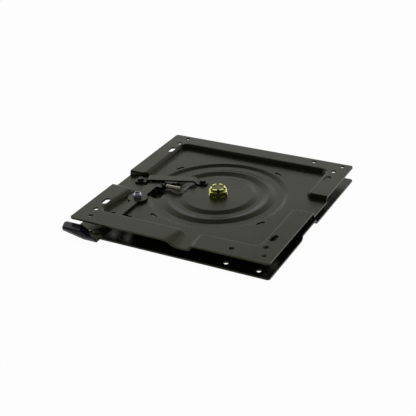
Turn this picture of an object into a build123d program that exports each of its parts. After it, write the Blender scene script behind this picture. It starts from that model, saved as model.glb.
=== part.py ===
from build123d import *
import math
import os

# Swivel base for a caravan or camper seat: two pressed steel plates on a central pivot,
# with a hand lever and a sprung latch that frees the upper plate. Millimetres.
# The swivel axis is the Z axis, the floor under the base plate is z = 0, and the
# handle is at the front, which faces -Y.

# Both pressings
plate_width = 360.0
plate_depth = 360.0
plate_corner_radius = 5.0
pivot_setback = 4.0
sheet = 3.0
seat_press_depth = 8.7
base_press_depth = 7.5
wall_slope = 24.0
rim_bend = 7.0
floor_bend = 2.0
rim_left = 32.0
rim_right = 36.0
rim_front = 42.5
rim_back = 34.0
recess_corner_radius = 13.0
mouth_corner_radius = 9.0
seat_left_channel_width = 59.0
seat_right_channel_middle = 19.0
seat_right_channel_width = 56.0
seat_front_channel_middle = 25.0
seat_front_channel_width = 48.0
base_left_channel_middle = 21.5
base_left_channel_width = 59.0
base_right_channel_middle = -27.0
base_right_channel_width = 59.0
base_back_channel_middle = 25.0
base_back_channel_width = 48.0

# Rings pressed into the floor of the seat plate, widths from the recess's nearest wall inwards
ring_depth = 3.2
ring_bend = 5.0
ring_from_wall = 22.0
outer_slope = 7.0
outer_flat = 12.9
ridge_outer_slope = 9.8
ridge_land = 2.6
ridge_inner_slope = 10.8
inner_flat = 7.8
inner_slope = 9.6

# Fixing holes of the seat plate, insets from a plate centred on the swivel axis
seat_corner_inset_x = 23.5
seat_corner_inset_y = 14.5
seat_corner_offset_x = 6.5
seat_corner_hole = 8.5
seat_extra_inset_x = 71.0
seat_side_inset_x = 24.5
seat_slot_inset_y = 68.0
seat_slot_length = 20.0
seat_slot_width = 10.0
seat_side_inset_y = 38.0
seat_side_hole = 9.0

# Fixing holes of the base plate, insets in the same way
base_corner_inset_x = 24.0
base_corner_inset_y = 11.0
base_corner_hole = 8.4
base_extra_inset_x = 80.0

# Central pivot
pivot_diameter = 20.0
pivot_across_flats = 30.0
pivot_head_height = 7.0
bush_diameter = 24.0
bush_proud = 0.1
pivot_washer_diameter = 32.0
pivot_washer_thickness = 0.6
nut_hex_height = 8.0
nut_crown_height = 5.0
nut_crown_diameter = 27.0
nut_slot_width = 4.5
nut_slot_count = 6
bolt_end_below_crown = 0.8
pivot_end_chamfer = 0.8
pivot_corner_drop = 1.5
nut_crown_chamfer = 0.8
lock_pin_diameter = 3.0
lock_pin_length = 26.0

# Lock disc, thrust ring and glide pads between the plates
lock_disc_thickness = 3.0
lock_disc_bore = 30.0
latch_gap = 1.2
slip_ring_thickness = 1.0
slip_ring_side_gap = 0.4
pad_ring_gap = 2.0
pad_first_angle = 60.0
pad_count = 4
pad_length = 26.0
pad_width = 11.0
pad_corner_radius = 3.0
pad_slot_length = 16.0
pad_slot_width = 6.0
pad_clip_below_floor = 2.0

# Release lever
lever_from_left_wall = 30.5
lever_thickness = 4.0
lever_boss_radius = 17.0
upper_arm_width = 18.5
lower_arm_width = 13.0
arm_right_edge = 9.0
arm_corner_radius = 4.0
joggle_behind_front_edge = 33.0
joggle_run = 9.0
joggle_drop = 8.2
joggle_bend = 5.0
tongue_width = 22.0
tongue_middle = -5.0
tongue_past_front_edge = 19.0
tooth_width = 10.0
tooth_middle = 73.0
tooth_behind_axis = 1.0
arm_past_tooth = 2.0
tooth_floor_gap = 0.5
ear_middle = 52.0
ear_width = 10.0
ear_reach = 23.5
ear_height = 9.0
ear_round = 4.5
ear_hole = 3.4
ear_hole_height = 5.8
locked_turn = -8.0

# Lever pivot
lever_bolt_diameter = 8.0
lever_bolt_head_diameter = 20.0
lever_bolt_head_height = 3.5
lever_bolt_head_round = 2.4
lever_bolt_below_nut = 0.8
lever_bolt_end_chamfer = 0.7
lever_washer_diameter = 24.0
lever_washer_thickness = 0.5
lever_nut_across_flats = 13.0
lever_nut_hex_height = 5.6
lever_nut_collar_height = 2.4
lever_nut_collar_diameter = 11.8
lever_nut_insert_depth = 2.2
lever_nut_corner_drop = 0.7

# Openings in the seat plate that the lever works through
window_left_of_tooth = 12.5
window_right_of_tooth = 22.5
window_back_of_tooth = 7.0
window_front_of_tooth = 53.0
window_corner_radius = 5.0
wall_slot_left = -18.0
wall_slot_right = 23.5
wall_slot_floor_reach = 14.5
wall_slot_corner_radius = 4.0
wall_slot_below_rim = 0.2

# Keeper strap over the lever's arm
strap_into_left_channel = 1.0
strap_left_past_tooth = -12.0
strap_right_of_tooth = 67.0
strap_right_past_tooth = 24.0
channel_past_strap = -10.5
strap_width = 17.0
strap_thickness = 3.0
strap_foot_reach = 9.5
strap_left_joggle = 11.0
strap_right_joggle = 9.5
strap_joggle_run = 5.0
strap_bend = 3.5
strap_lever_gap = 1.0
screw_diameter = 6.0
screw_across_flats = 10.0
screw_head_height = 4.0
screw_flange_diameter = 13.0
screw_flange_height = 1.0
screw_past_floor = 1.5
screw_corner_drop = 0.5

# Return spring
spring_diameter = 7.0
spring_wire = 1.1
spring_turns = 18
spring_ear_gap = 3.0
spring_hook_rise = 4.0
spring_hook_bend = 1.2
spring_anchor_across = 38.0
spring_anchor_back = 8.0
spring_anchor_rise = 2.1
spring_anchor_hole = 4.5
spring_anchor_run = 11.0
spring_hook_turn_in = 2.4
spring_hook_below = 0.9

# Handle grip, seen from the lever's tongue
grip_tongue_side = 4.0
grip_length = 73.5
grip_depth = 21.0
grip_back_of_tongue_end = 20.5
grip_left_slant = 9.0
grip_back_slant = 6.0
grip_tip_height = 6.5
grip_high_length = 38.5
grip_high_rise = 7.0
grip_ramp = 12.0
grip_ramp_slant = 29.0
grip_bevel_height = 6.0
grip_bevel_depth = 3.0
grip_low_depth = 9.0
grip_low_length = 26.0
grip_edge_radius = 2.2
grip_corner_radius = 5.0
rivet_diameter = 6.0
rivet_head_diameter = 11.0
rivet_head_height = 2.2
rivet_head_round = 1.7
rivet_from_tongue_end = 10.0
rivet_depth = 7.0

# Clearances
running_clearance = 0.05
bolt_clearance = 0.2
stack_clearance = 0.1
notch_clearance = 1.5
slot_clearance = 0.3

# Heights worked out from the sheet, the press depths and what lies between the floors
floor_gap = lock_disc_thickness + slip_ring_thickness + ring_depth + running_clearance
base_floor_under = base_press_depth
base_floor_top = base_press_depth + sheet
seat_floor_under = base_floor_top + floor_gap
seat_floor_top = seat_floor_under + sheet
seat_rim_top = seat_floor_top + seat_press_depth
lever_under = seat_floor_top + lever_washer_thickness + stack_clearance
lever_top = lever_under + lever_thickness
tongue_top = lever_top - joggle_drop
tongue_under = tongue_top - lever_thickness
strap_under = lever_top + strap_lever_gap
spring_height = lever_under + ear_hole_height

# Places worked out from the driving dimensions
plate_middle_y = -pivot_setback
plate_front = plate_middle_y - plate_depth / 2
plate_back = plate_middle_y + plate_depth / 2
run_out = rim_front + rim_back
block_size = max(plate_width, plate_depth) + 2 * run_out
recess_front = plate_front + rim_front
recess_left = -plate_width / 2 + rim_left
recess_right = plate_width / 2 - rim_right
recess_back = plate_back - rim_back
nearest_wall = min(-recess_front, recess_back, -recess_left, recess_right)
outer_ring_edge = nearest_wall - ring_from_wall
outer_ring_flat_outside = outer_ring_edge - outer_slope
outer_ring_flat_inside = outer_ring_flat_outside - outer_flat
ridge_outside = outer_ring_flat_inside - ridge_outer_slope
ridge_inside = ridge_outside - ridge_land
inner_ring_flat_outside = ridge_inside - ridge_inner_slope
inner_ring_flat_inside = inner_ring_flat_outside - inner_flat
inner_ring_edge = inner_ring_flat_inside - inner_slope
tooth_y = tooth_behind_axis
lever_pivot_x = recess_left + lever_from_left_wall
lever_pivot_y = tooth_y - tooth_middle
tooth_x = lever_pivot_x + arm_right_edge - lever_thickness / 2
tooth_inner_x = lever_pivot_x + arm_right_edge
tooth_near_y = max(0.0, abs(tooth_y) - tooth_width / 2)
lock_disc_radius = math.hypot(tooth_inner_x, tooth_near_y) - latch_gap
pad_radius = max(outer_ring_edge, lock_disc_radius) + pad_ring_gap + pad_width / 2
upper_arm_reach = tooth_middle + tooth_width / 2 + arm_past_tooth
joggle_start = lever_pivot_y - plate_front - joggle_behind_front_edge
tongue_end = lever_pivot_y - plate_front + tongue_past_front_edge
lever_tongue_x = lever_pivot_x + tongue_middle
lever_tongue_end_y = lever_pivot_y - tongue_end
ear_x = lever_pivot_x + ear_reach
ear_y = lever_pivot_y + ear_middle
spring_anchor_x = ear_x + spring_anchor_across
spring_anchor_y = ear_y + spring_anchor_back
strap_left_x = recess_left - strap_into_left_channel
strap_left_y = tooth_y + strap_left_past_tooth
strap_right_x = tooth_x + strap_right_of_tooth
strap_right_y = tooth_y + strap_right_past_tooth
seat_left_channel_middle = strap_left_y + channel_past_strap
strap_length = math.hypot(strap_right_x - strap_left_x, strap_right_y - strap_left_y)
strap_turn = math.degrees(math.atan2(strap_right_y - strap_left_y, strap_right_x - strap_left_x))


def span(x0, x1, y0, y1):
    """Rectangle between two pairs of coordinates."""
    return Pos((x0 + x1) / 2, (y0 + y1) / 2) * Rectangle(x1 - x0, y1 - y0)


def slab(plan, low, high):
    """Plan drawn at z = 0, raised to a solid between two heights."""
    return Pos(0, 0, low) * extrude(plan, amount=high - low)


def rod(diameter, low, high, x=0.0, y=0.0):
    """Upright round bar or hole."""
    return Pos(x, y) * slab(Circle(diameter / 2), low, high)


def hexagon(across_flats, low, high, x=0.0, y=0.0):
    """Upright hexagon bar."""
    plan = RegularPolygon(across_flats / 2, 6, major_radius=False)
    return Pos(x, y) * slab(plan, low, high)


def corner_chamfer(across_flats, low, high, drop, x=0.0, y=0.0):
    """Body of revolution that takes the upper corners off a hexagon of the same size."""
    corner_reach = across_flats / 2 / math.cos(math.radians(30)) - across_flats / 2
    cone = rod(across_flats + 4 * corner_reach, low, high, x, y)
    top_edge = cone.edges().group_by(Axis.Z)[-1]
    return chamfer(top_edge, 2 * drop, 2 * corner_reach)


def close_to(value, targets):
    """True where a coordinate is one of the given ones."""
    return any(abs(value - target) < 1e-6 for target in targets)


def vertices_at(plan, points):
    """Corners of a plan that lie at the given points."""
    return [v for v in plan.vertices() if any(close_to(v.X, (x,)) and close_to(v.Y, (y,)) for x, y in points)]


seat_channels = {
    "left": (seat_left_channel_middle, seat_left_channel_width),
    "right": (seat_right_channel_middle, seat_right_channel_width),
    "front": (seat_front_channel_middle, seat_front_channel_width),
}
base_channels = {
    "left": (base_left_channel_middle, base_left_channel_width),
    "right": (base_right_channel_middle, base_right_channel_width),
    "back": (base_back_channel_middle, base_back_channel_width),
}


def recess_plan(channels, grow):
    """Recess with the channels that run out through the rim, grown by an amount."""
    left = recess_left - grow
    right = recess_right + grow
    front = recess_front - grow
    back = recess_back + grow
    edges = {"left": left, "right": right, "front": front, "back": back}
    plan = span(left, right, front, back)
    mouth_points = []
    for side, (middle, width) in channels.items():
        low = middle - width / 2 - grow
        high = middle + width / 2 + grow
        reach = edges[side] + math.copysign(run_out, edges[side])
        across = sorted((0, reach))
        if side in ("left", "right"):
            plan += span(*across, low, high)
            mouth_points += [(edges[side], low), (edges[side], high)]
        else:
            plan += span(low, high, *across)
            mouth_points += [(low, edges[side]), (high, edges[side])]
    corner_points = [(x, y) for x in (left, right) for y in (front, back)]
    plan = fillet(vertices_at(plan, corner_points), recess_corner_radius + grow)
    return fillet(vertices_at(plan, mouth_points), mouth_corner_radius - grow)


ring_radii = [outer_ring_edge, outer_ring_flat_outside, outer_ring_flat_inside, ridge_outside]
ring_radii += [ridge_inside, inner_ring_flat_outside, inner_ring_flat_inside, inner_ring_edge]


def sunk_rings(block, level):
    """Block with the two shallow rings cut into its face at the given level."""
    low = level - ring_depth
    for outside, flat_outside, flat_inside, inside in (ring_radii[:4], ring_radii[4:]):
        corners = [(outside, level), (flat_outside, low), (flat_inside, low), (inside, level)]
        profile = Plane.XZ * make_face(Polyline(*corners, close=True))
        block -= revolve(profile, axis=Axis.Z)
    return block


def rounded_rings(block):
    """Block with the edges of its rings rounded."""
    circles = block.edges().filter_by(GeomType.CIRCLE)
    bends = circles.filter_by(lambda e: close_to(e.radius, ring_radii) and close_to(e.arc_center.X, (0,)))
    return fillet(bends, ring_bend)


def press_surface(channels, depth, top, grow, outer_bend, inner_bend):
    """Solid that fills the space under one face of the pressed sheet."""
    floor = top - depth
    block = slab(Rectangle(block_size + grow, block_size + grow), floor - 2 * depth - grow, top)
    plan = Pos(0, 0, top) * recess_plan(channels, grow)
    pocket = extrude(plan, amount=depth, dir=(0, 0, -1), taper=wall_slope)
    pocket = fillet(pocket.faces().sort_by(Axis.Z)[0].edges(), inner_bend)
    block -= pocket
    inside = block_size / 2 - 1
    mouth = block.edges().filter_by(lambda e: close_to(e.center().Z, (top,)))
    mouth = mouth.filter_by(lambda e: max(abs(e.center().X), abs(e.center().Y)) < inside)
    return fillet(mouth, outer_bend)


def pressing(channels, depth, with_rings):
    """Pressed sheet with its rim's upper face at z = 0, its rings rounded where they show."""
    slope = math.radians(wall_slope)
    grow = sheet * (1 / math.cos(slope) - math.tan(slope))
    upper = press_surface(channels, depth, 0, 0, rim_bend, floor_bend)
    under = press_surface(channels, depth, -sheet, grow, rim_bend - sheet, floor_bend + sheet)
    if with_rings:
        upper = rounded_rings(sunk_rings(upper, -depth))
        under = sunk_rings(under, -depth - sheet)
    outline = Pos(0, plate_middle_y) * RectangleRounded(plate_width, plate_depth, plate_corner_radius)
    return (upper - under) & slab(outline, -3 * depth, depth)


def base_plate():
    """Lower pressing, floor upwards, with its fixing holes and the pivot hole."""
    plate = mirror(pressing(base_channels, base_press_depth, with_rings=False), about=Plane.XY)
    half_x = plate_width / 2 - base_corner_inset_x
    half_y = plate_depth / 2 - base_corner_inset_y
    for x in (-half_x, plate_width / 2 - base_extra_inset_x, half_x):
        for y in (-half_y, half_y):
            plate -= rod(base_corner_hole, -sheet, 2 * sheet, x, y)
    return plate - rod(pivot_diameter + 2 * bolt_clearance, 0, 2 * base_press_depth)


def lever_turned(shape, degrees):
    """Shape turned about the lever's pivot."""
    pivot = Pos(lever_pivot_x, lever_pivot_y)
    return pivot * Rot(0, 0, degrees) * pivot.inverse() * shape


def lock_disc():
    """Disc on the base plate with two notches that the lever's tooth drops into."""
    low = base_floor_top
    high = low + lock_disc_thickness
    disc = rod(2 * lock_disc_radius, low, high) - rod(lock_disc_bore, low, high)
    half = tooth_width / 2 + notch_clearance
    floor = tooth_x + lever_thickness / 2 + notch_clearance
    notch = span(tooth_x - 4 * lever_thickness, floor, tooth_y - half, tooth_y + half)
    notch = fillet(notch.vertices().group_by(Axis.X)[-1], notch_clearance)
    notch = lever_turned(slab(notch, low, high), locked_turn)
    return disc - notch - Rot(0, 0, 180) * notch


def slip_ring():
    """Thrust ring that the seat plate's inner ring slides on."""
    low = base_floor_top + lock_disc_thickness
    high = low + slip_ring_thickness
    outside = rod(2 * (inner_ring_flat_outside - slip_ring_side_gap), low, high)
    return outside - rod(2 * (inner_ring_flat_inside + slip_ring_side_gap), low, high)


nut_under = seat_floor_top + bush_proud + pivot_washer_thickness
crown_under = nut_under + nut_hex_height
crown_top = crown_under + nut_crown_height
lock_pin_height = crown_under + lock_pin_diameter / 2 + stack_clearance


def lock_pin(diameter, length):
    """Round bar through the nut's crown, along X."""
    bar = Cylinder(diameter / 2, length, rotation=(0, 90, 0))
    return Pos(0, 0, lock_pin_height) * bar


def pivot_bolt():
    """Large hexagon bolt through both plates, head under the base plate's floor."""
    end = crown_top - bolt_end_below_crown
    shank = rod(pivot_diameter, base_floor_under, end)
    shank = chamfer(shank.edges().group_by(Axis.Z)[-1], pivot_end_chamfer)
    head_low = base_floor_under - pivot_head_height
    head = hexagon(pivot_across_flats, -base_floor_under, -head_low)
    head &= corner_chamfer(pivot_across_flats, -base_floor_under, -head_low, pivot_corner_drop)
    bolt = Rot(180, 0, 0) * head + shank
    return bolt - lock_pin(lock_pin_diameter + 2 * stack_clearance, pivot_diameter * 2)


def spacer_bush():
    """Bush that the nut clamps, so that the seat plate can still turn round it."""
    high = seat_floor_top + bush_proud
    bore = rod(pivot_diameter + 2 * stack_clearance, base_floor_top, high)
    return rod(bush_diameter, base_floor_top, high) - bore


def pivot_washer():
    """Thin washer between the castle nut and the seat plate."""
    low = seat_floor_top + bush_proud
    bore = rod(pivot_diameter + 2 * stack_clearance, low, nut_under)
    return rod(pivot_washer_diameter, low, nut_under) - bore


def castle_nut():
    """Hexagon nut with a slotted crown."""
    nut = hexagon(pivot_across_flats, nut_under, crown_under)
    nut &= corner_chamfer(pivot_across_flats, nut_under, crown_under, pivot_corner_drop)
    crown = rod(nut_crown_diameter, crown_under, crown_top)
    nut += chamfer(crown.edges().group_by(Axis.Z)[-1], nut_crown_chamfer)
    nut -= rod(pivot_diameter + 2 * stack_clearance, nut_under, crown_top)
    for number in range(nut_slot_count // 2):
        turn = number * 360 / nut_slot_count
        slot = span(-pivot_across_flats, pivot_across_flats, -nut_slot_width / 2, nut_slot_width / 2)
        nut -= Rot(0, 0, turn) * slab(slot, crown_under, crown_top)
    return nut


def window_plan():
    """Opening in the seat plate's floor that the lever's tooth reaches down through."""
    plan = span(tooth_x - window_left_of_tooth, tooth_x + window_right_of_tooth,
                tooth_y - window_front_of_tooth, tooth_y + window_back_of_tooth)
    return fillet(plan.vertices(), window_corner_radius)


def wall_slot_plan():
    """Opening in the floor and the front wall that lets the lever out under the rim."""
    plan = span(lever_pivot_x + wall_slot_left, lever_pivot_x + wall_slot_right,
                recess_front - rim_bend, recess_front + wall_slot_floor_reach)
    return fillet(plan.vertices().group_by(Axis.Y)[-1], wall_slot_corner_radius)


def pad_angle(number):
    """Direction of one glide pad from the swivel axis."""
    return pad_first_angle + number * 360 / pad_count


def pad_slot(number, length, width):
    """Short curved slot round the swivel axis."""
    arc = math.degrees((length - width) / pad_radius)
    middle = CenterArc((0, 0), pad_radius, pad_angle(number) - arc / 2, arc)
    return SlotArc(middle, width)


def seat_plate():
    """Upper pressing with its rings, its fixing holes and the lever's openings."""
    plate = Pos(0, 0, seat_rim_top) * pressing(seat_channels, seat_press_depth, with_rings=True)
    low = seat_floor_under - ring_depth - sheet
    high = seat_rim_top + sheet
    half_x = plate_width / 2
    half_y = plate_depth / 2
    for side in (-1, 1):
        y = side * (half_y - seat_corner_inset_y)
        for x in (seat_corner_inset_x - half_x, half_x - seat_corner_inset_x):
            plate -= rod(seat_corner_hole, low, high, x + seat_corner_offset_x, y)
        plate -= rod(seat_corner_hole, low, high, half_x - seat_extra_inset_x, y)
        for x in (seat_side_inset_x - half_x, half_x - seat_side_inset_x):
            plate -= rod(seat_side_hole, low, high, x, side * (half_y - seat_side_inset_y))
            slot = SlotOverall(seat_slot_length, seat_slot_width, rotation=90)
            plate -= Pos(x, side * (half_y - seat_slot_inset_y)) * slab(slot, low, high)
    for number in range(pad_count):
        plate -= slab(pad_slot(number, pad_slot_length, pad_slot_width), low, high)
    plate -= slab(window_plan(), low, high)
    plate -= slab(wall_slot_plan(), low, seat_rim_top - sheet - wall_slot_below_rim)
    plate -= rod(bush_diameter + 2 * running_clearance, low, high)
    plate -= rod(lever_bolt_diameter + 2 * bolt_clearance, low, high, lever_pivot_x, lever_pivot_y)
    for x, y in ((strap_left_x, strap_left_y), (strap_right_x, strap_right_y)):
        plate -= rod(screw_diameter + 2 * stack_clearance, low, high, x, y)
    return plate - rod(spring_anchor_hole, low, high, spring_anchor_x, spring_anchor_y)


def glide_pad(number):
    """Moulded pad under the seat plate that slides on the base plate's floor."""
    low = base_floor_top + running_clearance
    pad = slab(Rectangle(pad_width, pad_length), low, seat_floor_under)
    pad = fillet(pad.edges().filter_by(Axis.Z), pad_corner_radius)
    pad = Rot(0, 0, pad_angle(number)) * Pos(pad_radius, 0) * pad
    length = pad_slot_length - 2 * slot_clearance
    clip = pad_slot(number, length, pad_slot_width - 2 * slot_clearance)
    return pad + slab(clip, seat_floor_under, seat_floor_top - pad_clip_below_floor)


def strap_ribbon():
    """Side view of the strap along its own length, feet on the seat plate's floor."""
    foot = seat_floor_top + strap_thickness / 2
    raised = strap_under + strap_thickness / 2
    left_top = strap_left_joggle + strap_joggle_run
    right_top = strap_length - strap_right_joggle - strap_joggle_run
    points = [(-strap_foot_reach, foot), (strap_left_joggle, foot), (left_top, raised)]
    points += [(right_top, raised), (strap_length - strap_right_joggle, foot)]
    points += [(strap_length + strap_foot_reach, foot)]
    return trace(FilletPolyline(*points, radius=strap_bend), strap_thickness)


def keeper_strap():
    """Bridge over the lever's arm, joggled down to a foot at each end."""
    strap = extrude(Plane.XZ * strap_ribbon(), amount=strap_width / 2, both=True)
    ends = strap.edges().filter_by(Axis.Z).group_by(Axis.X)
    strap = fillet(ends[0] + ends[-1], strap_width / 4)
    for x in (0, strap_length):
        strap -= rod(screw_diameter + 2 * bolt_clearance, 0, seat_rim_top, x)
    return Pos(strap_left_x, strap_left_y) * Rot(0, 0, strap_turn) * strap


def strap_screw(x, y):
    """Flanged hexagon screw that holds one foot of the strap."""
    under_head = seat_floor_top + strap_thickness
    flange_top = under_head + screw_flange_height
    top = under_head + screw_head_height
    head = hexagon(screw_across_flats, flange_top, top, x, y)
    head &= corner_chamfer(screw_across_flats, flange_top, top, screw_corner_drop, x, y)
    head += rod(screw_flange_diameter, under_head, flange_top, x, y)
    return head + rod(screw_diameter, seat_floor_under - screw_past_floor, under_head, x, y)


lever_nut_under = lever_top + stack_clearance
lever_nut_hex_top = lever_nut_under + lever_nut_hex_height
lever_nut_top = lever_nut_hex_top + lever_nut_collar_height


def lever_pivot_bolt():
    """Low round-headed bolt that the lever turns on, head under the seat plate's floor."""
    head = rod(lever_bolt_head_diameter, seat_floor_under - lever_bolt_head_height, seat_floor_under)
    head = fillet(head.edges().group_by(Axis.Z)[0], lever_bolt_head_round)
    shank = rod(lever_bolt_diameter, seat_floor_under, lever_nut_top - lever_bolt_below_nut)
    shank = chamfer(shank.edges().group_by(Axis.Z)[-1], lever_bolt_end_chamfer)
    return Pos(lever_pivot_x, lever_pivot_y) * (head + shank)


def lever_washer():
    """Thin washer under the lever."""
    high = seat_floor_top + lever_washer_thickness
    bore = rod(lever_bolt_diameter + 2 * bolt_clearance, seat_floor_top, high)
    return Pos(lever_pivot_x, lever_pivot_y) * (rod(lever_washer_diameter, seat_floor_top, high) - bore)


def lever_nut():
    """Self-locking nut: hexagon with a rounded collar."""
    nut = hexagon(lever_nut_across_flats, lever_nut_under, lever_nut_hex_top)
    nut &= corner_chamfer(lever_nut_across_flats, lever_nut_under, lever_nut_hex_top,
                          lever_nut_corner_drop)
    collar = rod(lever_nut_collar_diameter, lever_nut_hex_top, lever_nut_top)
    nut += fillet(collar.edges().group_by(Axis.Z)[-1], lever_nut_collar_height / 2)
    nut -= rod(lever_bolt_diameter + 2 * stack_clearance, lever_nut_under, lever_nut_top)
    seat = lever_nut_top - lever_nut_insert_depth
    nut -= rod(lever_nut_collar_diameter - lever_nut_collar_height, seat, lever_nut_top)
    return Pos(lever_pivot_x, lever_pivot_y) * nut


def lever_nut_insert():
    """Dark locking ring held in the nut's collar."""
    low = lever_nut_top - lever_nut_insert_depth
    high = lever_nut_top - stack_clearance
    ring = rod(lever_nut_collar_diameter - lever_nut_collar_height - 2 * stack_clearance, low, high)
    ring -= rod(lever_bolt_diameter + 2 * stack_clearance, low, high)
    return Pos(lever_pivot_x, lever_pivot_y) * ring


def lever_plan():
    """Outline of the lever seen from above, pivot at the origin."""
    upper = span(arm_right_edge - upper_arm_width, arm_right_edge, 0, upper_arm_reach)
    upper = fillet(upper.vertices().group_by(Axis.Y)[-1], arm_corner_radius)
    ear = span(0, ear_reach, ear_middle - ear_width / 2, ear_middle + ear_width / 2)
    lower = span(arm_right_edge - lower_arm_width, arm_right_edge, -joggle_start - joggle_run, 0)
    tongue_left = tongue_middle - tongue_width / 2
    tongue_right = tongue_middle + tongue_width / 2
    shoulder = -joggle_start - joggle_run
    round_middle = -tongue_end + tongue_width / 2
    neck = make_face(Polyline((arm_right_edge - lower_arm_width, shoulder), (arm_right_edge, shoulder),
                              (tongue_right, round_middle), (tongue_left, round_middle), close=True))
    plan = Circle(lever_boss_radius) + upper + ear + lower + neck
    return plan + Pos(tongue_middle, round_middle) * Circle(tongue_width / 2)


def lever_ribbon():
    """Side view of the lever's strip from back to front, joggled down under the rim."""
    flat = lever_under + lever_thickness / 2
    low = flat - joggle_drop
    foot = -joggle_start - joggle_run
    points = [(upper_arm_reach, flat), (-joggle_start, flat), (foot, low), (-tongue_end, low)]
    return trace(FilletPolyline(*points, radius=joggle_bend), lever_thickness)


def lever_tooth():
    """Tab bent down from the arm's edge, which drops into the lock disc's notch."""
    low = base_floor_top + tooth_floor_gap
    plan = span(arm_right_edge - lever_thickness, arm_right_edge,
                tooth_middle - tooth_width / 2, tooth_middle + tooth_width / 2)
    return slab(plan, low, lever_under + lever_thickness / 2)


def lever_ear():
    """Tab bent up from the arm's edge, with the hole for the spring's hook."""
    plan = span(ear_reach - lever_thickness, ear_reach,
                ear_middle - ear_width / 2, ear_middle + ear_width / 2)
    ear = slab(plan, lever_under, lever_under + ear_height)
    top = ear.edges().filter_by(Axis.X).group_by(Axis.Z)[-1]
    ear = fillet(top, ear_round)
    hole = Cylinder(ear_hole / 2, 3 * lever_thickness, rotation=(0, 90, 0))
    return ear, Pos(ear_reach, ear_middle, lever_under + ear_hole_height) * hole


def release_lever():
    """Flat steel lever with its tooth, its spring ear and the tongue for the grip."""
    strip = extrude(Plane.YZ * lever_ribbon(), amount=plate_width / 4, both=True)
    lever = strip & slab(lever_plan(), 0, seat_rim_top)
    ear, ear_bore = lever_ear()
    lever = lever + lever_tooth() + ear - ear_bore
    lever -= rod(lever_bolt_diameter + 2 * running_clearance, lever_under, lever_top)
    rivet_y = -tongue_end + rivet_from_tongue_end
    lever -= rod(rivet_diameter + 2 * stack_clearance, tongue_under, tongue_top, tongue_middle, rivet_y)
    return Pos(lever_pivot_x, lever_pivot_y) * lever


def handle_grip():
    """Moulded paddle under the lever's tongue: low where it is riveted, high at its tip."""
    right = lever_tongue_x + grip_tongue_side
    left = right - grip_length
    back = lever_tongue_end_y + grip_back_of_tongue_end
    front = back - grip_depth
    low = tongue_under - grip_low_depth
    high = tongue_under + grip_high_rise
    tip = high - grip_tip_height
    side = [(left, high), (right, high), (right, low), (right - grip_low_length, low), (left, tip)]
    body = Plane.XZ * make_face(Polyline(*side, close=True))
    body = Pos(0, back, 0) * extrude(body, amount=grip_depth)
    face = body.faces().sort_by(Axis.Y)[0]
    under = [e for e in face.edges() if e.center().Z < tip - 0.01 and abs(e.tangent_at(0.5).X) > 0.5]
    body = chamfer(under, grip_bevel_height, grip_bevel_depth, reference=face)
    ramp = [(0, high), (grip_ramp, tongue_under), (grip_length, tongue_under)]
    ramp += [(grip_length, high + grip_ramp), (0, high + grip_ramp)]
    step = extrude(Plane.XZ * make_face(Polyline(*ramp, close=True)), amount=grip_length, both=True)
    body -= Pos(left + grip_high_length, (front + back) / 2) * Rot(0, 0, grip_ramp_slant) * step
    outline = [(left, back), (left + grip_high_length, back), (right, back - grip_back_slant)]
    outline += [(right, front), (left + grip_left_slant, front)]
    plan = make_face(Polyline(*outline, close=True))
    plan = fillet(plan.vertices(), grip_corner_radius)
    body &= slab(plan, 0, seat_rim_top)
    seat_face = body.faces().filter_by(Axis.Z).sort_by(lambda f: abs(f.center().Z - tongue_under))[0]
    keep = seat_face.edges()
    soft = [e for e in body.edges() if e.length > grip_edge_radius and not any(e.is_same(k) for k in keep)]
    soft = [e for e in soft if e.center().Z > high - 0.01]
    body = fillet(soft, grip_edge_radius)
    rivet_y = lever_tongue_end_y + rivet_from_tongue_end
    return body - rod(rivet_diameter + 2 * stack_clearance, tongue_under - rivet_depth, high,
                      lever_tongue_x, rivet_y)


def grip_rivet():
    """Domed rivet through the lever's tongue into the grip."""
    x = lever_tongue_x
    y = lever_tongue_end_y + rivet_from_tongue_end
    head = rod(rivet_head_diameter, tongue_top, tongue_top + rivet_head_height, x, y)
    head = fillet(head.edges().group_by(Axis.Z)[-1], rivet_head_round)
    return head + rod(rivet_diameter, tongue_under - rivet_depth + stack_clearance, tongue_top, x, y)


def return_spring():
    """Extension spring from the lever's ear down to a hole in the seat plate."""
    run = math.hypot(spring_anchor_across, spring_anchor_back)
    turn = math.degrees(math.atan2(spring_anchor_back, spring_anchor_across))
    drop = spring_height - seat_floor_top - spring_anchor_rise
    slope = math.atan2(drop, run)

    def sloped(x, z):
        return x * math.cos(slope) + z * math.sin(slope), 0, z * math.cos(slope) - x * math.sin(slope)

    coil_radius = (spring_diameter - spring_wire) / 2
    start = spring_ear_gap
    length = run - spring_anchor_run - start
    section = Circle(spring_wire / 2)
    helix = Helix(pitch=length / spring_turns, height=length, radius=coil_radius)
    coil_section = Plane(helix @ 0, z_dir=helix % 0) * section
    coil = Rot(0, 90, 0) * sweep(coil_section, path=helix, is_frenet=True)
    coil = Rot(0, math.degrees(slope), 0) * Pos(start, 0, 0) * coil
    far = -lever_thickness - 2 * spring_wire
    lap = spring_wire / 4
    hook_in = [sloped(start + lap, -coil_radius), sloped(start - spring_wire, 0), sloped(far, 0)]
    hook_in += [sloped(far, spring_hook_rise)]
    plate_low = seat_floor_under - spring_hook_below - spring_height
    hook_out = [sloped(start + length - lap, -coil_radius), sloped(start + length + 2 * spring_wire, 0)]
    hook_out += [sloped(run - 2 * spring_wire, 0), (run, 0, -drop - spring_wire), (run, 0, plate_low)]
    hook_out += [(run - spring_hook_turn_in, 0, plate_low)]
    spring = coil
    for points in (hook_in, hook_out):
        path = FilletPolyline(*points, radius=spring_hook_bend)
        spring += sweep(Plane(path @ 0, z_dir=path % 0) * section, path=path)
    return Pos(ear_x, ear_y, spring_height) * Rot(0, 0, turn) * spring


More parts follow.
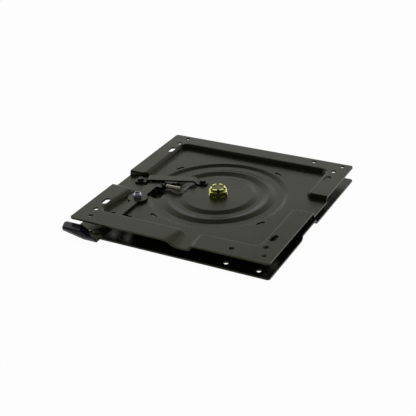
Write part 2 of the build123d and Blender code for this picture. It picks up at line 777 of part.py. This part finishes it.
nodes = {
    "base_plate": base_plate(),
    "lock_disc": lock_disc(),
    "slip_ring": slip_ring(),
    "pivot_bolt": pivot_bolt(),
    "spacer_bush": spacer_bush(),
    "pivot_washer": pivot_washer(),
    "castle_nut": castle_nut(),
    "nut_lock_pin": lock_pin(lock_pin_diameter, lock_pin_length),
    "seat_plate": seat_plate(),
    "keeper_strap": keeper_strap(),
    "strap_screw_left": strap_screw(strap_left_x, strap_left_y),
    "strap_screw_right": strap_screw(strap_right_x, strap_right_y),
    "lever_pivot_bolt": lever_pivot_bolt(),
    "lever_washer": lever_washer(),
    "lever_nut": lever_nut(),
    "lever_nut_insert": lever_nut_insert(),
    "return_spring": return_spring(),
    "release_lever": release_lever(),
    "handle_grip": handle_grip(),
    "grip_rivet": grip_rivet(),
}
for number in range(pad_count):
    nodes[f"glide_pad_{number + 1}"] = glide_pad(number)

os.makedirs("parts", exist_ok=True)
for name, shape in nodes.items():
    export_step(shape, f"parts/{name}.step")
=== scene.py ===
import math

import bpy
from mathutils import Matrix, Vector


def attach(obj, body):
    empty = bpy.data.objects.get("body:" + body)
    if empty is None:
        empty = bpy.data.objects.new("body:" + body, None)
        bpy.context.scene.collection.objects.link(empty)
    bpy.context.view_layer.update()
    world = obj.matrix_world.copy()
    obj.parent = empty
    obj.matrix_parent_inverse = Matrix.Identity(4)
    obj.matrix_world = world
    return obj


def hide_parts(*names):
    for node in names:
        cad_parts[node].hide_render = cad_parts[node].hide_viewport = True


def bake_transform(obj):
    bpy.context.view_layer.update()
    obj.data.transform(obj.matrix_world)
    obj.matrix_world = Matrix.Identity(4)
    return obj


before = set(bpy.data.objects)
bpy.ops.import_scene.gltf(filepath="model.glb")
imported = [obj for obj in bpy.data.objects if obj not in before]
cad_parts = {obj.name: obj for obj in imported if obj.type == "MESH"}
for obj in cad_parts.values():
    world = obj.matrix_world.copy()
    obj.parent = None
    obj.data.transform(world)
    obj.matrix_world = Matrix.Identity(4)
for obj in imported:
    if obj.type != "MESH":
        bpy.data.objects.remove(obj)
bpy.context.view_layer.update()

# Swivel seat base in black coated steel, on a white studio sweep. Metres and degrees.

# Camera, from the photograph's own view
camera_place = (0.673012, -1.246278, 0.758043)
camera_turn = 29.12
camera_dip = 28.33
camera_roll = -2.69
camera_lens = 80.45
camera_sensor = 36.0

# Floor: its white, how much that varies, and how much of it glows
sweep_size = 9.0
sweep_white = 0.9
sweep_mottle = 0.01
sweep_cloud = 3.0
sweep_rough = 0.9
sweep_glow = 0.97

# Room: a white backdrop up to its top and a dark ceiling from its bottom up, with a smooth change between.
# The side that the camera stands on is dim: it changes between two cosines of the angle from its middle.
# As light on matt surfaces the whole room is dimmer
dome_light = 0.55
backdrop_top = 31.0
ceiling_bottom = 84.0
ceiling_level = 0.03
room_front = (0.487, -0.874, 0.0)
room_front_level = 0.12
room_front_turn = (-0.35, 0.15)

# Lamp above and behind
softbox_place = (-0.25, 0.55, 1.5)
softbox_size = (1.5, 0.9)
softbox_power = 9.0

# Distance at which a CAD node's loose triangles are merged, and how far off a line or ring a vertex still
# counts as on it
merge_distance = 0.000001
hair = 0.0002

# Angles up to which neighbouring faces are shaded smooth
spring_smooth = 40.0
plate_smooth = 35.0

# Walls of the seat plate's pressing. The corner of a channel's mouth is a quarter ring of wall. Each line
# has its centre, the sides of the centre that it is on along x and y, and how far it is pulled along x and
# along y, each at the rim and at the floor
mouth_radii = (0.00445, 0.01417)
mouths = [
    ((-0.157, -0.06), (1, 1), (0.005, 0.0115), (0.0, 0.0)),
    ((-0.008, -0.1505), (1, 1), (0.009, 0.0115), (0.0, 0.0)),
    ((0.058, -0.1505), (-1, 1), (-0.004, -0.008), (0.0, 0.0)),
    ((0.153, 0.056), (-1, -1), (0.0, 0.0), (0.0005, 0.0042)),
    ((-0.157, 0.017), (1, -1), (0.0, 0.0), (-0.006, 0.0)),
]
# Where the front channel's two walls meet the plate's front edge, at rim and floor, before and after
front_edge = -0.184
front_walls = [
    ((-0.00355, 0.00617), (-0.0063, 0.0278)),
    ((0.05355, 0.04383), (0.0537, 0.038)),
]
# Where the back walls of the right and left channels meet the plate's side edges, after the edge's own x
side_walls = [
    (0.18, (0.05155, 0.04183), (0.05205, 0.04603)),
    (-0.18, (0.01255, 0.00283), (0.00655, 0.00283)),
]
# The back wall is steeper, most of all at its foot. Places along y, before and after: from the start of its
# corners to the floor's edge, on to the shoulder, and on to the rim
back_wall = [
    ((0.122, 0.1368), (0.122, 0.1402)),
    ((0.1368, 0.1402), (0.1402, 0.1425)),
    ((0.1402, 0.1467), (0.1425, 0.1484)),
]
# Its left end, from where its vertices stay to where they move all the way, and its right end
back_wall_left = (-0.1505, -0.138)
back_wall_right = 0.1505

# Warm sheen and weak shine of the black coat, and the range that most of a noise's values lie in
coat_sheen = (0.98, 1.0, 0.55, 1.0)
coat_shine = 0.275
noise_span = (0.3, 0.7)


def new_material(name):
    """Empty node material with its tree, its shader and its place on the surface."""
    material = bpy.data.materials.new(name)
    material.use_nodes = True
    tree = material.node_tree
    shader = tree.nodes["Principled BSDF"]
    place = tree.nodes.new("ShaderNodeTexCoord")
    return material, tree, shader, place.outputs["Object"]


def new_group(name, inputs, outputs):
    """Node group with a place and the given float inputs and outputs."""
    group = bpy.data.node_groups.new(name, "ShaderNodeTree")
    group.interface.new_socket("Place", in_out="INPUT", socket_type="NodeSocketVector")
    for label, value in inputs.items():
        socket = group.interface.new_socket(label, in_out="INPUT", socket_type="NodeSocketFloat")
        socket.default_value = value
    for label in outputs:
        group.interface.new_socket(label, in_out="OUTPUT", socket_type="NodeSocketFloat")
    return group, group.nodes.new("NodeGroupInput"), group.nodes.new("NodeGroupOutput")


def place_group(tree, group, place, **values):
    """Copy of a node group in a material, with its own values."""
    node = tree.nodes.new("ShaderNodeGroup")
    node.node_tree = group
    tree.links.new(place, node.inputs["Place"])
    for label, value in values.items():
        node.inputs[label.replace("_", " ")].default_value = value
    return node


def noise(tree, place, scale, detail=4.0, rough=0.55):
    """Noise texture on a place socket."""
    node = tree.nodes.new("ShaderNodeTexNoise")
    tree.links.new(place, node.inputs["Vector"])
    if isinstance(scale, bpy.types.NodeSocket):
        tree.links.new(scale, node.inputs["Scale"])
    else:
        node.inputs["Scale"].default_value = scale
    node.inputs["Detail"].default_value = detail
    node.inputs["Roughness"].default_value = rough
    return node.outputs["Fac"]


def maths(tree, operation, first, second):
    """Math node on sockets or numbers."""
    node = tree.nodes.new("ShaderNodeMath")
    node.operation = operation
    for number, value in enumerate((first, second)):
        if isinstance(value, bpy.types.NodeSocket):
            tree.links.new(value, node.inputs[number])
        else:
            node.inputs[number].default_value = value
    return node.outputs[0]


def remap(tree, value, low, high, to_low=0.0, to_high=1.0):
    """Smooth map of one range on another."""
    node = tree.nodes.new("ShaderNodeMapRange")
    node.interpolation_type = "SMOOTHSTEP"
    tree.links.new(value, node.inputs["Value"])
    node.inputs["From Min"].default_value = low
    node.inputs["From Max"].default_value = high
    node.inputs["To Min"].default_value = to_low
    node.inputs["To Max"].default_value = to_high
    return node.outputs["Result"]


def dot_product(tree, first):
    """Dot product node with its first side linked."""
    node = tree.nodes.new("ShaderNodeVectorMath")
    node.operation = "DOT_PRODUCT"
    tree.links.new(first, node.inputs[0])
    return node


def mix_colour(tree, factor, first, second):
    """Colour mix of sockets or colours by a mask."""
    node = tree.nodes.new("ShaderNodeMix")
    node.data_type = "RGBA"
    tree.links.new(factor, node.inputs["Factor"])
    for label, value in (("A", first), ("B", second)):
        socket = [s for s in node.inputs if s.name == label and s.type == "RGBA"][0]
        if isinstance(value, bpy.types.NodeSocket):
            tree.links.new(value, socket)
        else:
            socket.default_value = (*value, 1.0)
    return [s for s in node.outputs if s.type == "RGBA"][0]


def bump(tree, shader, height, strength, distance):
    """Bump on the shader's normal from a height."""
    node = tree.nodes.new("ShaderNodeBump")
    node.inputs["Strength"].default_value = strength
    node.inputs["Distance"].default_value = distance
    tree.links.new(height, node.inputs["Height"])
    tree.links.new(node.outputs["Normal"], shader.inputs["Normal"])


def edge_wear_group():
    """Mask of rubbed sharp edges, broken up by noise."""
    group, inside, outside = new_group("edge_wear", {"Width": 0.0006, "Break up": 260.0}, ["Mask"])
    bevel = group.nodes.new("ShaderNodeBevel")
    bevel.samples = 6
    group.links.new(inside.outputs["Width"], bevel.inputs["Radius"])
    geometry = group.nodes.new("ShaderNodeNewGeometry")
    turn = dot_product(group, bevel.outputs["Normal"])
    group.links.new(geometry.outputs["Normal"], turn.inputs[1])
    edge = remap(group, turn.outputs["Value"], low=0.985, high=0.86)
    spots = noise(group, inside.outputs["Place"], inside.outputs["Break up"])
    patch = remap(group, spots, low=0.4, high=0.62)
    group.links.new(maths(group, "MULTIPLY", edge, patch), outside.inputs["Mask"])
    return group


def coat_grain_group():
    """Fine pebbled skin of a dipped or sprayed coat, with slow drifts in gloss."""
    outputs = ["Height", "Gloss", "Cloud"]
    group, inside, outside = new_group("coat_grain", {"Pebble": 900.0, "Drift": 9.0}, outputs)
    place = inside.outputs["Place"]
    pebble = noise(group, place, inside.outputs["Pebble"], detail=2.0, rough=0.5)
    drift = noise(group, place, inside.outputs["Drift"], detail=5.0, rough=0.6)
    fine = noise(group, place, scale=140.0, detail=3.0, rough=0.6)
    slow_part = maths(group, "MULTIPLY", drift, 0.7)
    fine_part = maths(group, "MULTIPLY", fine, 0.3)
    group.links.new(pebble, outside.inputs["Height"])
    group.links.new(maths(group, "ADD", slow_part, fine_part), outside.inputs["Gloss"])
    group.links.new(drift, outside.inputs["Cloud"])
    return group


def scratch_group():
    """Sparse fine scratches in two directions."""
    group, inside, outside = new_group("scratches", {"Density": 0.5}, ["Mask"])
    masks = []
    for turn, stretch in ((24.0, 46.0), (-61.0, 60.0)):
        mapping = group.nodes.new("ShaderNodeMapping")
        mapping.inputs["Rotation"].default_value = (0.0, 0.0, math.radians(turn))
        mapping.inputs["Scale"].default_value = (stretch, 1200.0, 600.0)
        group.links.new(inside.outputs["Place"], mapping.inputs["Vector"])
        fine = noise(group, mapping.outputs["Vector"], scale=1.0, detail=1.0, rough=0.4)
        masks.append(remap(group, fine, low=0.74, high=0.8))
    both = maths(group, "MAXIMUM", masks[0], masks[1])
    where = remap(group, noise(group, inside.outputs["Place"], scale=14.0), low=0.5, high=0.7)
    spread = maths(group, "MULTIPLY", where, inside.outputs["Density"])
    group.links.new(maths(group, "MULTIPLY", both, spread), outside.inputs["Mask"])
    return group


edge_wear = edge_wear_group()
coat_grain = coat_grain_group()
scratches = scratch_group()


def drifting_gloss(tree, shader, skin, rough, below, above):
    """Roughness that drifts below and above a middle value with the skin's gloss."""
    drift = remap(tree, skin.outputs["Gloss"], *noise_span, rough - below, rough + above)
    tree.links.new(drift, shader.inputs["Roughness"])


def coated_steel(name, colour, faded, worn, rough, rub=0.55, score=0.25):
    """Black coat on pressed steel: pebbled skin, drifts in gloss, rubbed edges and fine scratches."""
    material, tree, shader, place = new_material(name)
    skin = place_group(tree, coat_grain, place)
    wear = place_group(tree, edge_wear, place)
    marks = place_group(tree, scratches, place)
    cloudy = mix_colour(tree, skin.outputs["Cloud"], colour, faded)
    rubbed = maths(tree, "MULTIPLY", wear.outputs["Mask"], rub)
    scored = maths(tree, "MULTIPLY", marks.outputs["Mask"], score)
    shown = maths(tree, "MAXIMUM", rubbed, scored)
    tree.links.new(mix_colour(tree, shown, cloudy, worn), shader.inputs["Base Color"])
    drifting_gloss(tree, shader, skin, rough, below=0.06, above=0.06)
    shader.inputs["Specular IOR Level"].default_value = coat_shine
    shader.inputs["Specular Tint"].default_value = coat_sheen
    bump(tree, shader, skin.outputs["Height"], strength=0.12, distance=0.0002)
    return material


def plated_metal(name, colour, second, rough, drift, metal=1.0, rub=0.4, rub_shine=1.35):
    """Zinc plating with soft patches of a second tint, rubbed on its edges."""
    material, tree, shader, place = new_material(name)
    skin = place_group(tree, coat_grain, place, Pebble=1600.0, Drift=drift)
    wear = place_group(tree, edge_wear, place, Width=0.0004, Break_up=500.0)
    patch = remap(tree, skin.outputs["Cloud"], low=0.38, high=0.62)
    tinted = mix_colour(tree, patch, colour, second)
    rubbed = maths(tree, "MULTIPLY", wear.outputs["Mask"], rub)
    bright = tuple(min(1.0, rub_shine * level) for level in colour)
    tree.links.new(mix_colour(tree, rubbed, tinted, bright), shader.inputs["Base Color"])
    shader.inputs["Metallic"].default_value = metal
    drifting_gloss(tree, shader, skin, rough, below=0.07, above=0.07)
    bump(tree, shader, skin.outputs["Height"], strength=0.1, distance=0.0001)
    return material


def moulded_plastic(name, colour, faded, rough, pebble, shine=0.5, rub=0.3):
    """Moulded plastic with a light grain, rubbed edges and fine scratches."""
    material, tree, shader, place = new_material(name)
    skin = place_group(tree, coat_grain, place, Pebble=pebble, Drift=30.0)
    wear = place_group(tree, edge_wear, place, Width=0.0008, Break_up=300.0)
    marks = place_group(tree, scratches, place)
    rubbed = maths(tree, "MULTIPLY", wear.outputs["Mask"], rub)
    shown = maths(tree, "MAXIMUM", rubbed, marks.outputs["Mask"])
    tree.links.new(mix_colour(tree, shown, colour, faded), shader.inputs["Base Color"])
    drifting_gloss(tree, shader, skin, rough, below=0.06, above=0.08)
    shader.inputs["Specular IOR Level"].default_value = shine
    bump(tree, shader, skin.outputs["Height"], strength=0.08, distance=0.0002)
    return material


plate_coat = coated_steel(
    "plate_coat", (0.011, 0.011, 0.0065), (0.0155, 0.015, 0.0095), (0.11, 0.105, 0.09), rough=0.3)
lever_coat = coated_steel(
    "lever_coat", (0.015, 0.0148, 0.0115), (0.02, 0.0195, 0.015), (0.13, 0.125, 0.11), rough=0.3)
screw_black = coated_steel(
    "screw_black", (0.008, 0.008, 0.007), (0.014, 0.0135, 0.012), (0.12, 0.115, 0.1), rough=0.38)
yellow_zinc = plated_metal(
    "yellow_zinc", (0.86, 0.82, 0.3), (0.72, 0.74, 0.26), rough=0.24, drift=160.0)
dull_zinc = plated_metal(
    "dull_zinc", (0.16, 0.145, 0.075), (0.1, 0.09, 0.045), rough=0.42, drift=220.0)
white_zinc = plated_metal(
    "white_zinc", (0.92, 0.93, 1.0), (0.7, 0.72, 0.94), rough=0.22, drift=160.0, metal=0.75)
turned_steel = plated_metal(
    "turned_steel", (0.42, 0.42, 0.41), (0.34, 0.34, 0.33), rough=0.38, drift=60.0)
spring_wire = plated_metal(
    "spring_wire", (0.9, 0.87, 0.72), (0.7, 0.67, 0.55), rough=0.34, drift=120.0, metal=0.75)
# The grip's plastic is black. The blue tint in its colour is painted reflection of a bluish window on its
# glossy top.
grip_plastic = moulded_plastic(
    "grip_plastic", (0.006, 0.0066, 0.013), (0.05, 0.05, 0.055), rough=0.2, pebble=700.0, shine=0.16)
pad_plastic = moulded_plastic(
    "pad_plastic", (0.11, 0.11, 0.095), (0.16, 0.16, 0.14), rough=0.4, pebble=900.0)
insert_plastic = moulded_plastic(
    "insert_plastic", (0.012, 0.014, 0.03), (0.04, 0.045, 0.06), rough=0.45, pebble=1500.0)

finished_nodes = [
    (plate_coat, ["base_plate", "seat_plate", "lock_disc"]),
    (lever_coat, ["release_lever", "keeper_strap", "grip_rivet"]),
    (screw_black, ["strap_screw_left", "strap_screw_right", "lever_pivot_bolt"]),
    (yellow_zinc, ["castle_nut", "pivot_washer"]),
    (dull_zinc, ["pivot_bolt"]),
    (white_zinc, ["lever_nut", "lever_washer"]),
    (turned_steel, ["spacer_bush", "nut_lock_pin"]),
    (spring_wire, ["return_spring"]),
    (grip_plastic, ["handle_grip"]),
    (pad_plastic, ["slip_ring", "glide_pad_1", "glide_pad_2", "glide_pad_3", "glide_pad_4"]),
    (insert_plastic, ["lever_nut_insert"]),
]
for finish, node_names in finished_nodes:
    for node_name in node_names:
        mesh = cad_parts[node_name].data
        mesh.materials.clear()
        mesh.materials.append(finish)


def merged_copy(node_name, name):
    """Copy of a CAD node as a piece of its own, with its loose triangles merged."""
    bpy.ops.object.select_all(action="DESELECT")
    piece = bpy.data.objects.new(name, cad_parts[node_name].data.copy())
    bpy.context.scene.collection.objects.link(piece)
    piece.select_set(True)
    bpy.context.view_layer.objects.active = piece
    bpy.ops.object.mode_set(mode="EDIT")
    bpy.ops.mesh.select_all(action="SELECT")
    bpy.ops.mesh.remove_doubles(threshold=merge_distance)
    bpy.ops.object.mode_set(mode="OBJECT")
    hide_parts(node_name)
    return piece


def along(value, start, end):
    """Place between the end pair that a value has between the start pair."""
    share = (value - start[0]) / (start[1] - start[0])
    return end[0] + share * (end[1] - end[0])


def within(value, pair):
    """Whether a value lies between a pair, in either order."""
    return min(pair) - hair < value < max(pair) + hair


def pressed_walls():
    """Seat plate with gentle walls beside its front and left channels and steep ones that face forwards."""
    plate = merged_copy("seat_plate", "seat_plate_pressing")
    for vertex in plate.data.vertices:
        x, y = vertex.co.x, vertex.co.y
        for (centre_x, centre_y), (side_x, side_y), pull_x, pull_y in mouths:
            radius = math.hypot(x - centre_x, y - centre_y)
            beside = side_x * (x - centre_x) > -hair and side_y * (y - centre_y) > -hair
            if beside and within(radius, mouth_radii):
                vertex.co.x += along(radius, mouth_radii, pull_x)
                vertex.co.y += along(radius, mouth_radii, pull_y)
        for before, after in front_walls:
            if y < front_edge + hair and within(x, before):
                vertex.co.x = along(x, before, after)
        for edge, before, after in side_walls:
            if abs(x - edge) < hair and within(y, before):
                vertex.co.y = along(y, before, after)
        for before, after in back_wall:
            if before[0] < y <= before[1] and back_wall_left[0] < x < back_wall_right:
                share = min(1.0, along(x, back_wall_left, (0.0, 1.0)))
                vertex.co.y = y + share * (along(y, before, after) - y)
    bpy.ops.mesh.customdata_custom_splitnormals_clear()
    bpy.ops.object.shade_smooth_by_angle(angle=math.radians(plate_smooth))
    weights = plate.modifiers.new("flat_faces_stay_flat", "WEIGHTED_NORMAL")
    weights.keep_sharp = True
    bpy.ops.object.modifier_apply(modifier=weights.name)
    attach(plate, "seat")


def stretching_spring():
    """Return spring as a piece of its own, with its loose triangles merged and its faces shaded smooth."""
    spring = merged_copy("return_spring", "return_spring_wire")
    bpy.ops.object.shade_smooth_by_angle(angle=math.radians(spring_smooth))
    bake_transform(spring)


def seen_directly(tree):
    """Mask of rays that show the background: to the camera, or by a mirror or clear surface."""
    path = tree.nodes.new("ShaderNodeLightPath")
    shown = maths(tree, "MAXIMUM", path.outputs["Is Camera Ray"], path.outputs["Is Glossy Ray"])
    return maths(tree, "MAXIMUM", shown, path.outputs["Is Transmission Ray"])


def white_sweep():
    """Pale floor that keeps a soft shadow and meets the white surroundings."""
    bpy.ops.object.select_all(action="DESELECT")
    bpy.ops.mesh.primitive_plane_add(size=sweep_size)
    floor = bpy.context.object
    floor.name = "sweep"
    material, tree, shader, place = new_material("sweep_white")
    cloud = noise(tree, place, sweep_cloud)
    tint = remap(tree, cloud, *noise_span, sweep_white - sweep_mottle, sweep_white + sweep_mottle)
    tree.links.new(tint, shader.inputs["Base Color"])
    shader.inputs["Roughness"].default_value = sweep_rough
    glow = tree.nodes.new("ShaderNodeEmission")
    mixer = tree.nodes.new("ShaderNodeMixShader")
    tree.links.new(maths(tree, "MULTIPLY", seen_directly(tree), sweep_glow), mixer.inputs["Fac"])
    tree.links.new(shader.outputs["BSDF"], mixer.inputs[1])
    tree.links.new(glow.outputs["Emission"], mixer.inputs[2])
    tree.links.new(mixer.outputs["Shader"], tree.nodes["Material Output"].inputs["Surface"])
    floor.data.materials.append(material)


def white_surroundings():
    """World that is white to the camera, a room with a dark ceiling to gloss, and dimmer as light."""
    world = bpy.data.worlds.new("surroundings")
    world.use_nodes = True
    tree = world.node_tree
    sky = tree.nodes["Background"]
    sky.inputs["Color"].default_value = (1.0, 1.0, 1.0, 1.0)
    place = tree.nodes.new("ShaderNodeTexCoord")
    split = tree.nodes.new("ShaderNodeSeparateXYZ")
    tree.links.new(place.outputs["Generated"], split.inputs["Vector"])
    low = math.sin(math.radians(backdrop_top))
    high = math.sin(math.radians(ceiling_bottom))
    height = remap(tree, split.outputs["Z"], low, high, 1.0, ceiling_level)
    facing = dot_product(tree, place.outputs["Generated"])
    facing.inputs[1].default_value = room_front
    room = remap(tree, facing.outputs["Value"], *room_front_turn, 1.0, room_front_level)
    level = remap(tree, seen_directly(tree), 0.0, 1.0, dome_light, 1.0)
    lit = maths(tree, "MULTIPLY", maths(tree, "MULTIPLY", height, room), level)
    path = tree.nodes.new("ShaderNodeLightPath")
    tree.links.new(maths(tree, "MAXIMUM", lit, path.outputs["Is Camera Ray"]), sky.inputs["Strength"])
    bpy.context.scene.world = world


def softbox():
    """Large soft lamp above and behind the object, out of its reflections."""
    lamp = bpy.data.lights.new("softbox", "AREA")
    lamp.shape = "RECTANGLE"
    lamp.size, lamp.size_y = softbox_size
    lamp.energy = softbox_power
    stand = bpy.data.objects.new("softbox", lamp)
    bpy.context.scene.collection.objects.link(stand)
    stand.location = softbox_place
    stand.visible_glossy = False
    stand.rotation_euler = (-Vector(softbox_place)).to_track_quat("-Z", "Y").to_euler()


def photo_camera():
    """Camera at the photograph's place, turn, dip and roll."""
    camera = bpy.data.cameras.new("photo_camera")
    camera.lens = camera_lens
    camera.sensor_width = camera_sensor
    stand = bpy.data.objects.new("photo_camera", camera)
    bpy.context.scene.collection.objects.link(stand)
    turn = Matrix.Rotation(math.radians(camera_turn), 4, "Z")
    dip = Matrix.Rotation(math.radians(90.0 - camera_dip), 4, "X")
    roll = Matrix.Rotation(math.radians(camera_roll), 4, "Z")
    stand.matrix_world = Matrix.Translation(camera_place) @ turn @ dip @ roll
    bpy.context.scene.camera = stand


pressed_walls()
stretching_spring()
white_sweep()
white_surroundings()
softbox()
photo_camera()
bpy.context.scene.view_settings.view_transform = "Standard"
